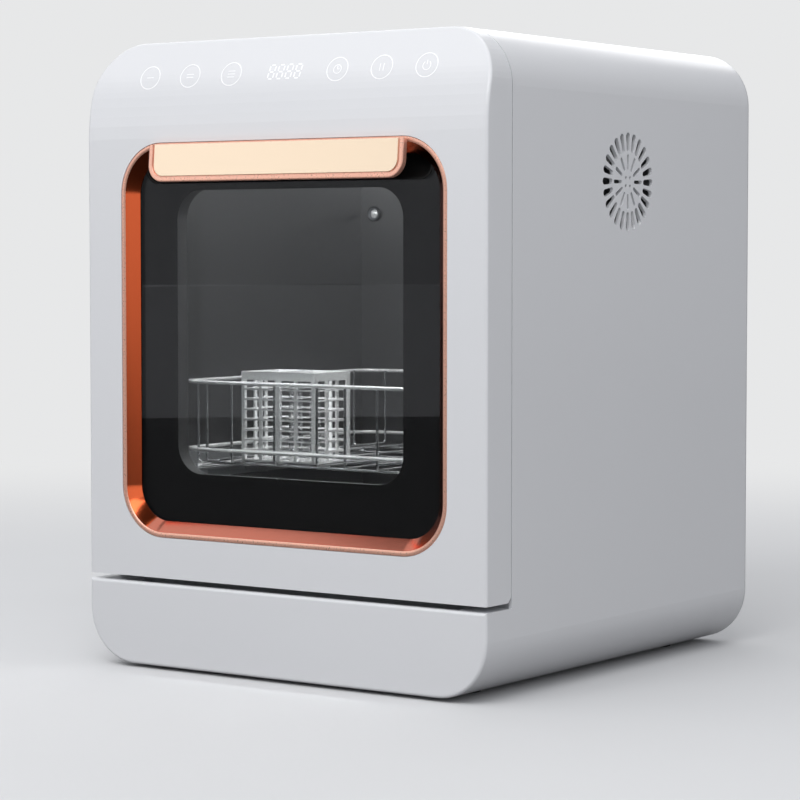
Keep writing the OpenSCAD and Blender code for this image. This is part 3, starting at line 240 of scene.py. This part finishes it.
# Metals
copper = finish_of("polished_copper", MOULDED, (0.72, 0.130, 0.045), 0.15,
                   drift(0.06, Grain_Scale=500.0), bump=0.01, Metallic=1.0)
# Darker, pinker copy of the copper for the bezel's lower slopes: a painted reflection of the
# surroundings on that sill
sill_copper_painted_reflection = finish_of("copper_for_sill_painted_reflection", MOULDED, (0.50, 0.163, 0.112), 0.17,
                        drift(0.06, Grain_Scale=500.0), bump=0.01, Metallic=1.0)
# Paler rose copper; on the bezel's front rim it is a painted sheen of the coat's reflection
rose_copper = finish_of("rose_copper_rim", MOULDED, (0.97, 0.53, 0.40), 0.28, drift(0.05),
                        bump=0.01, Metallic=0.55)
cream_gold = finish_of("cream_gold_plate", MOULDED, (0.97, 0.79, 0.60), 0.26, drift(0.05),
                       bump=0.02, Metallic=0.75)
rack_wire = finish_of("polished_rack_wire", MOULDED, (0.95, 0.95, 0.95), 0.20,
                      drift(0.06, 0.08), Metallic=0.25)
bright_wire = finish_of("bright_wire", MOULDED, (0.82, 0.83, 0.84), 0.16,
                        drift(0.06, 0.08), Metallic=1.0)
# Brushed steel darkened well below steel's own colour: painted shade inside the closed tub
shade_darkened_tub_metal = finish_of("brushed_steel_painted_tub_shade", BRUSHED, (0.21, 0.21, 0.213), 0.36,
                      bump=0.02, Metallic=0.9)
sheet_steel = finish_of("plain_sheet_steel", BRUSHED, (0.55, 0.56, 0.57), 0.38,
                        {"Stretch": (300.0, 300.0, 8.0)}, bump=0.03, Metallic=1.0)
brass = finish_of("turned_brass", BRUSHED, (0.75, 0.60, 0.32), 0.28,
                  {"Stretch": (500.0, 30.0, 500.0)}, bump=0.03, Metallic=1.0)

# Mouldings, boards and rubbers
frame_grey = finish_of("grey_moulding", MOULDED, (0.40, 0.41, 0.43), 0.42,
                       drift(0.05, 0.08), bump=0.08)
cover_grey = finish_of("pale_grey_cover", MOULDED, (0.66, 0.67, 0.69), 0.40,
                       drift(0.04, 0.08), bump=0.10)
dark_plastic = finish_of("black_moulding", MOULDED, (0.030, 0.031, 0.034), 0.45,
                         drift(0.1, 0.1), bump=0.12)
mid_plastic = finish_of("charcoal_moulding", MOULDED, (0.12, 0.125, 0.135), 0.40,
                        drift(0.08, 0.1), bump=0.10)
pale_plastic = finish_of("ivory_moulding", MOULDED, (0.72, 0.73, 0.72), 0.40,
                         drift(0.05, 0.1), bump=0.08)
board_green = finish_of("circuit_board", MOULDED, (0.035, 0.16, 0.075), 0.42,
                        drift(0.25, 0.1, Grain_Scale=300.0), bump=0.1)
rubber = finish_of("black_rubber", MOULDED, (0.018, 0.018, 0.019), 0.70,
                   drift(0.15, 0.15, Grain_Scale=1400.0), bump=0.25)
seal_rubber = finish_of("grey_seal_rubber", MOULDED, (0.10, 0.103, 0.108), 0.60,
                        drift(0.1, 0.12, Grain_Scale=1400.0), bump=0.2)
dark_rubber = finish_of("black_seal_rubber", MOULDED, (0.045, 0.045, 0.046), 0.60,
                        drift(0.1, 0.12, Grain_Scale=1400.0), bump=0.2)

FINISHES = {
    "outer_casing": white_shell, "front_frame": frame_grey, "back_cover": cover_grey,
    "cover_screws": bright_wire, "base_pan": dark_plastic, "rubber_feet": rubber,
    "wash_tub": shade_darkened_tub_metal, "tub_gasket": seal_rubber, "rack_rails": sheet_steel,
    "tub_lamp": lamp_lens, "sump": mid_plastic, "spray_post": mid_plastic,
    "heating_element": bright_wire, "fan_frame": dark_plastic, "fan_gasket": seal_rubber,
    "hinge_brackets": sheet_steel, "latch_housing": dark_plastic, "pump_volute": mid_plastic,
    "pump_motor": sheet_steel, "pump_elbow": rubber, "drain_pump": mid_plastic,
    "drain_hose": rubber, "drain_outlet": mid_plastic, "water_inlet": brass,
    "inlet_valve": pale_plastic, "fill_hose": pale_plastic, "power_inlet": dark_plastic,
    "power_board": board_green, "level_sensor": pale_plastic, "door_shell": white_shell,
    "door_liner": sheet_steel, "window_bezel": copper, "door_glass": dark_glass,
    "glass_border": black_print, "window_spacer": dark_rubber, "inner_glass": clear_glass,
    # The finger pocket takes the painted shadow black
    "finger_pocket": painted_shadow_black, "handle_frame": rose_copper, "handle_plate": cream_gold,
    "control_board": board_green, "touch_pads": brass, "display_module": dark_plastic,
    "hinge_leaves": sheet_steel, "hinge_pins": bright_wire, "door_strike": bright_wire,
    "rack_loops": rack_wire, "rack_runners": rack_wire, "rack_cross_wires": bright_wire,
    "rack_long_wires": bright_wire, "rack_tines": bright_wire, "cutlery_basket": rack_wire,
    "basket_divider": bright_wire, "spray_arm": mid_plastic, "filter_cup": shade_darkened_tub_metal,
    "fan_rotor": dark_plastic, "pump_impeller": pale_plastic,
}
for name, material in FINISHES.items():
    slots = nodes[name].data.materials
    slots.clear()
    slots.append(material)


# ---------------------------------------------------------------- piece helpers

def mesh_from(bm, name, material):
    """Mesh of a finished bmesh, with its first material."""
    mesh = bpy.data.meshes.new(name)
    bm.to_mesh(mesh)
    bm.free()
    mesh.materials.append(material)
    return mesh


def place_object(name, data):
    """Object in the scene that shows the given mesh, light or camera."""
    thing = bpy.data.objects.new(name, data)
    bpy.context.scene.collection.objects.link(thing)
    return thing


def piece_from(bm, name, material, body, crease=32):
    """Turns a bmesh into a finished piece that rides on a body; crease 0 leaves it flat."""
    bmesh.ops.recalc_face_normals(bm, faces=bm.faces)
    mesh = mesh_from(bm, name, material)
    if crease:
        mesh.shade_smooth()
        mesh.set_sharp_from_angle(angle=math.radians(crease))
    piece = place_object(name, mesh)
    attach(piece, body)
    return piece


def rounded_path(width, height, radius):
    """Points of a rounded rectangle in X and Z with their outward directions."""
    steps = 14
    path = []
    for sx, sz, start in ((1, 1, 0), (-1, 1, 90), (-1, -1, 180), (1, -1, 270)):
        for i in range(steps + 1):
            a = math.radians(start + 90 * i / steps)
            out = (math.cos(a), math.sin(a))
            path.append((sx * (width / 2 - radius) + radius * out[0],
                         sz * (height / 2 - radius) + radius * out[1], out))
    return path


def ring_sweep(bm, width, height, radius, front, middle, profile):
    """Sweeps a closed profile of (outward, backward) points round a rounded rectangle."""
    rings = [[bm.verts.new((x + out[0] * u, front + v, middle + z + out[1] * u))
              for u, v in profile] for x, z, out in rounded_path(width, height, radius)]
    for ring, after in zip(rings, rings[1:] + rings[:1]):
        bridge(bm, ring, after)


def bridge(bm, ring, after):
    """Faces between two closed rows of equally many points."""
    for k in range(len(ring)):
        n = (k + 1) % len(ring)
        bm.faces.new((ring[k], after[k], after[n], ring[n]))


def rounded_profile(points, radii):
    """Rounds the corners of a closed profile that have a radius."""
    steps = 4
    result = []
    for i, point in enumerate(points):
        if not radii[i]:
            result.append(tuple(point))
            continue
        here = Vector(point)
        before = (Vector(points[i - 1]) - here).normalized() * radii[i]
        after = (Vector(points[(i + 1) % len(points)]) - here).normalized() * radii[i]
        for k in range(steps + 1):
            t = k / steps
            result.append(tuple(here + before * (1 - t) ** 2 + after * t ** 2))
    return result


def hanging_outline(width, height, radius, steps=10):
    """Outline with square upper and rounded lower corners, hanging down from height 0."""
    points = [(width / 2, 0.0)]
    for sx, start in ((1, 0), (-1, -90)):
        for i in range(steps + 1):
            a = math.radians(start - 90 * i / steps)
            points.append((sx * (width / 2 - radius) + radius * math.cos(a),
                           -height + radius + radius * math.sin(a)))
    points.append((-width / 2, 0.0))
    return points


def slab_from(bm, outline, front, back, edge=0.0):
    """Closed slab between two depths from an outline in X and Z, its front edges rounded."""
    face = bm.faces.new([bm.verts.new((x, back, z)) for x, z in outline])
    grown = bmesh.ops.extrude_face_region(bm, geom=[face])["geom"]
    top = [f for f in grown if isinstance(f, bmesh.types.BMFace)][0]
    for v in top.verts:
        v.co.y = front
    if edge:
        bmesh.ops.bevel(bm, geom=list(top.edges), offset=edge, affect="EDGES", segments=3,
                        profile=0.5, material=-1, clamp_overlap=True)


def lay_on_band(bm, slant=0.0):
    """Moves flat marks, drawn in X and Z, onto the leaning band of the door."""
    lift = 0.12 * MM
    for v in bm.verts:
        v.co.z = KEY_HEIGHT + (v.co.z - KEY_HEIGHT) * math.cos(LEAN_ANGLE)
        v.co.x += (v.co.z - KEY_HEIGHT) * slant
        v.co.y = FRONT + band_depth(v.co.z) - lift + v.co.y


def flat_ring(bm, x, z, outer, inner, turns, start=0.0, sweep=math.tau):
    """Ring or arc drawn in the XZ plane."""
    ends = [bmesh.ops.create_vert(bm, co=(x + r * math.cos(start), 0, z + r * math.sin(start)))
            ["vert"][0] for r in (outer, inner)]
    edge = bm.edges.new(ends)
    bmesh.ops.spin(bm, geom=[edge, *ends], cent=(x, 0, z), axis=(0, -1, 0), angle=sweep,
                   steps=turns, use_merge=sweep == math.tau)


def stroke(bm, x0, z0, x1, z1, thickness):
    """Straight stroke drawn in the XZ plane."""
    along = Vector((x1 - x0, 0, z1 - z0))
    place = (Matrix.Translation(((x0 + x1) / 2, 0, (z0 + z1) / 2))
             @ Matrix.Rotation(-math.atan2(along.z, along.x), 4, "Y")
             @ Matrix.Rotation(math.pi / 2, 4, "X"))
    bmesh.ops.create_grid(bm, x_segments=2, y_segments=1, size=0.5,
                          matrix=place @ Matrix.Diagonal((along.length, thickness, 1, 1)))


# ---------------------------------------------------------------- bezel, handle and lamp

BEZEL_W, BEZEL_H, BEZEL_R = 326.6 * MM, 325.2 * MM, 42 * MM
BEZEL_Z = 273.6 * MM
BEZEL_DEPTH, RIM = 9.7 * MM, 3.2 * MM
BEZEL_TOP = BEZEL_Z + BEZEL_H / 2


def make_bezel():
    """Deep copper slopes with a rounded rim in front, and the flange behind them; the rim's paler
    rose copper is a painted sheen and the lower slopes' darker copper a painted reflection.
    """
    slope_end, slope_foot = -RIM - BEZEL_DEPTH, BEZEL_DEPTH - 0.3 * MM
    toe, shelf, flange, flange_end = 3 * MM, 2.2 * MM, 2 * MM, BEZEL_DEPTH + 2 * MM
    points = [(0, 0), (-RIM, 0), (slope_end, slope_foot), (slope_end + toe, slope_foot),
              (-RIM + 0.6 * MM, shelf), (-flange, shelf), (-flange, flange_end), (0, flange_end)]
    radii = [0.9 * MM, 0.9 * MM, 0.3 * MM, 0, 0, 0, 0, 0]
    bm = bmesh.new()
    ring_sweep(bm, BEZEL_W, BEZEL_H, BEZEL_R, FRONT, BEZEL_Z, rounded_profile(points, radii))
    rim_back, steep = FRONT + 0.75 * MM, 0.62
    painted_sheen_rim_slot, painted_reflection_sill_slot = 1, 2
    for face in bm.faces:
        middle = face.calc_center_median()
        face.normal_update()
        # Front faces take the paler rose copper: a painted sheen of the coat's reflection on the
        # rim
        if middle.y < rim_back:
            face.material_index = painted_sheen_rim_slot
        # Lower slopes that face upwards take the sill copper, a painted reflection
        elif middle.z < BEZEL_Z and abs(face.normal.z) > steep:
            face.material_index = painted_reflection_sill_slot
    bezel = piece_from(bm, "copper_bezel", copper, "door")
    bezel.data.materials.append(rose_copper)
    bezel.data.materials.append(sill_copper_painted_reflection)
    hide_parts("window_bezel")


HANDLE_W, HANDLE_H, HANDLE_R, HANDLE_T = 255 * MM, 30.5 * MM, 14 * MM, 4.5 * MM
HANDLE_RIM = 4 * MM
HANDLE_REACH = 6 * MM
HANDLE_RECESS = 1.5 * MM
HANDLE_PLACE = (Matrix.Translation((0, FRONT - HANDLE_REACH, BEZEL_TOP - 1.5 * MM))
                @ Matrix.Rotation(math.radians(-4.7), 4, "X"))


def add_cradle_rim(bm):
    """Rounded rim that stands round the cradle's recess."""
    outer = hanging_outline(HANDLE_W, HANDLE_H, HANDLE_R, steps=14)
    inner = hanging_outline(HANDLE_W - 2 * HANDLE_RIM, HANDLE_H - HANDLE_RIM,
                            HANDLE_R - HANDLE_RIM, steps=14)
    cross = rounded_profile([(0, 0), (1, 0), (1, 1), (0, 1)], [0.28, 0.28, 0, 0])
    rows = [[bm.verts.new((xo + (xi - xo) * u, v * HANDLE_RECESS, zo + (zi - zo) * u))
             for u, v in cross] for (xo, zo), (xi, zi) in zip(outer, inner)]
    for before, after in zip(rows, rows[1:]):
        bridge(bm, before, after)
    bm.faces.new(rows[0])
    bm.faces.new(rows[-1])


def add_cradle_foot(bm):
    """Wedge that joins the cradle to the bezel's upper slope; returns its points."""
    half_width = (HANDLE_W - 12 * MM) / 2
    front, back, tip = -(HANDLE_REACH - HANDLE_T + 1 * MM), 0.6 * MM, 6.7 * MM
    section = [(front, -1.2 * MM), (back, -1.2 * MM), (tip, -8 * MM), (front, -4.5 * MM)]
    ends = [[bm.verts.new((x, y, z)) for y, z in section] for x in (-half_width, half_width)]
    for end in ends:
        bm.faces.new(end)
    bridge(bm, *ends)
    return {v for end in ends for v in end}


def make_handle():
    """Copper cradle with a rounded rim, and the pale gold plate set into it."""
    bm = bmesh.new()
    slab_from(bm, hanging_outline(HANDLE_W, HANDLE_H, HANDLE_R), HANDLE_RECESS, HANDLE_T)
    add_cradle_rim(bm)
    foot = add_cradle_foot(bm)
    foot_place = Matrix.Translation((0, FRONT, BEZEL_TOP - RIM))
    for v in bm.verts:
        v.co = (foot_place if v in foot else HANDLE_PLACE) @ v.co
    cradle = piece_from(bm, "handle_cradle", rose_copper, "door")
    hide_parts("handle_frame")

    side_gap, low_gap, corner_gap = 1.3 * MM, 0.4 * MM, 0.5 * MM
    outline = hanging_outline(HANDLE_W - 2 * HANDLE_RIM - 2 * side_gap,
                              HANDLE_H - HANDLE_RIM - low_gap,
                              HANDLE_R - HANDLE_RIM - corner_gap)
    bm = bmesh.new()
    slab_from(bm, outline, 0.15 * MM, HANDLE_RECESS - 0.05 * MM, edge=0.35 * MM)
    bm.transform(HANDLE_PLACE)
    plate = piece_from(bm, "handle_face_plate", cream_gold, "door", crease=12)
    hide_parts("handle_plate")


def make_lamp():
    """Lamp on the tub's back wall: dark rim, reflector bowl and a domed lens."""
    low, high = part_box("tub_lamp")
    radius = (high[0] - low[0]) / 2
    flange, lip, stem = 3 * MM, 2 * MM, high[1] - low[1]
    lens_edge, bowl_edge = 0.56, 0.82
    profile = [(0, 0.2 * MM), (0.26 * radius, 0.4 * MM), (0.46 * radius, 1.0 * MM),
               (lens_edge * radius, 2.0 * MM), (0.66 * radius, 2.0 * MM),
               (bowl_edge * radius, 0.3 * MM), (0.92 * radius, 0), (radius, 0.5 * MM),
               (radius, flange), (radius - lip, flange), (radius - lip, stem), (0, stem)]
    centre = Vector(((low[0] + high[0]) / 2, low[1], (low[2] + high[2]) / 2))
    bm = bmesh.new()
    points = [bm.verts.new(centre + Vector((r, y, 0))) for r, y in profile]
    lines = [bm.edges.new(pair) for pair in zip(points, points[1:])]
    bmesh.ops.spin(bm, geom=points + lines, cent=centre, axis=(0, 1, 0), angle=math.tau,
                   steps=40, use_merge=True)
    bmesh.ops.remove_doubles(bm, verts=bm.verts, dist=0.01 * MM)
    bowl_depth = 2.1 * MM
    lens_slot, bowl_slot = 1, 2
    for face in bm.faces:
        away = face.calc_center_median() - centre
        out = math.hypot(away.x, away.z) / radius
        if away.y < bowl_depth and out < bowl_edge:
            face.material_index = lens_slot if out < lens_edge else bowl_slot
    lamp = piece_from(bm, "tub_lamp_reflector", dark_plastic, "casing")
    lamp.data.materials.append(lamp_lens)
    lamp.data.materials.append(mid_plastic)
    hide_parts("tub_lamp")


make_bezel()
make_handle()
make_lamp()


# ---------------------------------------------------------------- printed control band

KEYS = [x * MM for x in (-138.7, -96.2, -53.3, 53.3, 96.2, 138.7)]
KEY_RING = (10.4 * MM, 9.65 * MM)
SIGN_RING = (4.0 * MM, 3.35 * MM)
SIGN_LINE = 0.65 * MM


def make_touch_marks():
    """Outline rings of the six touch keys, each with a plain generic sign inside."""
    bm = bmesh.new()
    for x in KEYS:
        flat_ring(bm, x, KEY_HEIGHT, *KEY_RING, turns=64)
    bar_half, bar_pitch = 3.6 * MM, 2.6 * MM
    for count, x in enumerate(KEYS[:3]):
        for bar in range(count + 1):
            z = KEY_HEIGHT + (bar - count / 2) * bar_pitch
            stroke(bm, x - bar_half, z, x + bar_half, z, SIGN_LINE)
    clock, pause, power = KEYS[3:]
    flat_ring(bm, clock, KEY_HEIGHT, *SIGN_RING, turns=40)
    stroke(bm, clock, KEY_HEIGHT, clock, KEY_HEIGHT + 2.6 * MM, SIGN_LINE)
    stroke(bm, clock, KEY_HEIGHT, clock + 1.9 * MM, KEY_HEIGHT, SIGN_LINE)
    pause_half = 3.2 * MM
    for x in (pause - 1.7 * MM, pause + 1.7 * MM):
        stroke(bm, x, KEY_HEIGHT - pause_half, x, KEY_HEIGHT + pause_half, SIGN_LINE)
    flat_ring(bm, power, KEY_HEIGHT - 0.4 * MM, *SIGN_RING, turns=40,
              start=math.radians(125), sweep=math.radians(290))
    stroke(bm, power, KEY_HEIGHT + 0.4 * MM, power, KEY_HEIGHT + 4.2 * MM, SIGN_LINE)
    lay_on_band(bm)
    piece_from(bm, "touch_key_marks", painted_glow_white, "door", crease=0)


# Ends of the seven segments, in widths and heights of a figure
SEGMENTS = [(0, 1, 1, 1), (1, 0.5, 1, 1), (1, 0, 1, 0.5), (0, 0, 1, 0),
            (0, 0, 0, 0.5), (0, 0.5, 0, 1), (0, 0.5, 1, 0.5)]


def make_time_digits():
    """Four slanted seven-segment figures."""
    bm = bmesh.new()
    digit_w, digit_h, line, gap = 5.4 * MM, 12.0 * MM, 1.2 * MM, 0.35 * MM
    base_z = KEY_HEIGHT - digit_h / 2
    for left in (-14.6, -5.8, 3.0, 11.8):
        for x0, z0, x1, z1 in SEGMENTS:
            a = Vector((left * MM + x0 * digit_w, 0, base_z + z0 * digit_h))
            b = Vector((left * MM + x1 * digit_w, 0, base_z + z1 * digit_h))
            trim = (b - a).normalized() * (line / 2 + gap)
            stroke(bm, a.x + trim.x, a.z + trim.z, b.x - trim.x, b.z - trim.z, line)
    lay_on_band(bm, slant=0.12)
    piece_from(bm, "time_digits", painted_glow_white, "door", crease=0)


make_touch_marks()
make_time_digits()


# ---------------------------------------------------------------- studio

BACKDROP = (0.80, 0.805, 0.81, 1)
COOL_WHITE = (0.93, 0.95, 1.0)


def level_sheet(name, place, width, depth, material):
    """Flat rectangle for the studio."""
    bm = bmesh.new()
    bmesh.ops.create_grid(bm, x_segments=1, y_segments=1, size=0.5,
                          matrix=Matrix.Translation(place) @ Matrix.Diagonal((width, depth, 1, 1)))
    return place_object(name, mesh_from(bm, name, material))


def colour_shader(tree, kind, colour):
    """Simple shader of one colour."""
    node = add(tree, kind)
    node.inputs["Color"].default_value = colour
    return node.outputs[0]


def make_floor():
    """Pale floor that fades into the backdrop away from the machine."""
    paint = finish_of("studio_floor_paint", MOULDED, (0.70, 0.705, 0.715), 0.45,
                      drift(0.02, Grain_Scale=40.0), Specular_IOR_Level=0.0)
    tree = paint.node_tree
    away = add(tree, "ShaderNodeVectorMath", operation="LENGTH")
    tree.links.new(add(tree, "ShaderNodeTexCoord").outputs["Object"], away.inputs[0])
    fade = add(tree, "ShaderNodeMapRange", interpolation_type="SMOOTHSTEP")
    fade.inputs["From Min"].default_value = 0.7
    fade.inputs["From Max"].default_value = 2.2
    tree.links.new(away.outputs["Value"], fade.inputs["Value"])
    glow = colour_shader(tree, "ShaderNodeEmission", BACKDROP)
    bounce = colour_shader(tree, "ShaderNodeBsdfDiffuse", (0.32, 0.32, 0.325, 1))
    camera_ray = add(tree, "ShaderNodeLightPath").outputs["Is Camera Ray"]
    seen = mix_of(tree, maths(tree, "MULTIPLY", fade.outputs["Result"], camera_ray),
                  tree.nodes["Principled BSDF"].outputs[0], glow)
    tree.links.new(mix_of(tree, camera_ray, bounce, seen),
                   tree.nodes["Material Output"].inputs["Surface"])
    floor = level_sheet("studio_floor", (0, 0, 0), 12.0, 12.0, paint)


def make_card(name, place, width, depth):
    """Level black sheet that only mirror reflections see."""
    card = level_sheet(name, place, width, depth, painted_shadow_black)
    card.visible_camera = False
    card.visible_diffuse = False
    card.visible_shadow = False


def make_backdrop():
    """World that looks white to the camera and lights the scene softly."""
    world = bpy.data.worlds.new("studio_light")
    bpy.context.scene.world = world
    world.use_nodes = True
    tree = world.node_tree
    tree.nodes.clear()
    seen = colour_shader(tree, "ShaderNodeBackground", BACKDROP)
    seen.node.inputs["Strength"].default_value = 1.0
    soft = colour_shader(tree, "ShaderNodeBackground", (*COOL_WHITE, 1))
    soft.node.inputs["Strength"].default_value = 0.32
    camera_ray = add(tree, "ShaderNodeLightPath").outputs["Is Camera Ray"]
    out = add(tree, "ShaderNodeOutputWorld")
    tree.links.new(mix_of(tree, camera_ray, soft, seen), out.inputs["Surface"])


def area_light(name, place, target, size, power, colour=(1, 1, 1), spread=math.pi):
    """Rectangular light at a place, turned to a target."""
    lamp = bpy.data.lights.new(name, "AREA")
    lamp.shape = "RECTANGLE"
    lamp.size, lamp.size_y = size
    lamp.energy = power
    lamp.color = colour
    lamp.spread = spread
    light = place_object(name, lamp)
    light.location = place
    light.rotation_euler = (Vector(target) - Vector(place)).to_track_quat("-Z", "Y").to_euler()


def make_camera():
    """Camera in front of the machine's right edge, a little above its middle."""
    turn, dip = 0.613, 0.0555
    lens = bpy.data.cameras.new("studio_camera")
    lens.lens = 121.85
    lens.sensor_width = 36.0
    lens.sensor_fit = "HORIZONTAL"
    camera = place_object("studio_camera", lens)
    camera.location = (1.3238, -1.91758, 0.34883)
    camera.rotation_euler = (math.pi / 2 - dip, 0, turn)
    bpy.context.scene.camera = camera


make_floor()
make_backdrop()
make_card("floor_card", (0.0, -10.25, 0.003), 30.0, 20.0)
make_card("corner_card", (0.6, -1.2, 1.8), 2.0, 1.15)
make_card("stripe_card", (-1.13, -0.42, 1.8), 0.15, 0.7)

# Name, place, target, width and height in metres, and power in watts
for row in (
        ("top_softbox", (-0.4, -0.6, 2.3), (-0.1, 0, 0.3), (4.0, 3.0), 33.5),
        ("back_softbox", (-1.4, 2.6, 1.5), (0, 0.1, 0.5), (3.0, 1.4), 26),
        ("front_softbox", (0.6, -2.6, 2.4), (0, 0, 0.35), (3.2, 2.0), 52),
        ("side_softbox", (2.4, 0.2, 1.2), (0.1, 0, 0.3), (1.8, 1.8), 7.5),
        ("camera_side_softbox", (2.8, -2.4, 0.95), (0, -0.2, 0.4), (1.9, 1.7), 7.5),
        ("handle_softbox", (-2.19, -2.81, 0.96), (-0.05, -0.22, 0.42), (1.6, 0.8), 4.4),
        ("low_front_softbox", (-2.19, -2.81, 0.1382), (0, -0.2, 0.1382), (1.6, 0.2764), 0.51,
         COOL_WHITE),
        ("tub_glow", (0, -0.10, 0.47), (0, 0.05, 0.25), (0.26, 0.10), 1.65)):
    area_light(*row)
area_light("rack_glow", (0.02, -0.13, 0.41), (0.02, -0.118, 0.17), (0.24, 0.02), 0.55,
           spread=math.radians(40))
make_camera()

view = bpy.context.scene.view_settings
view.view_transform = "Standard"
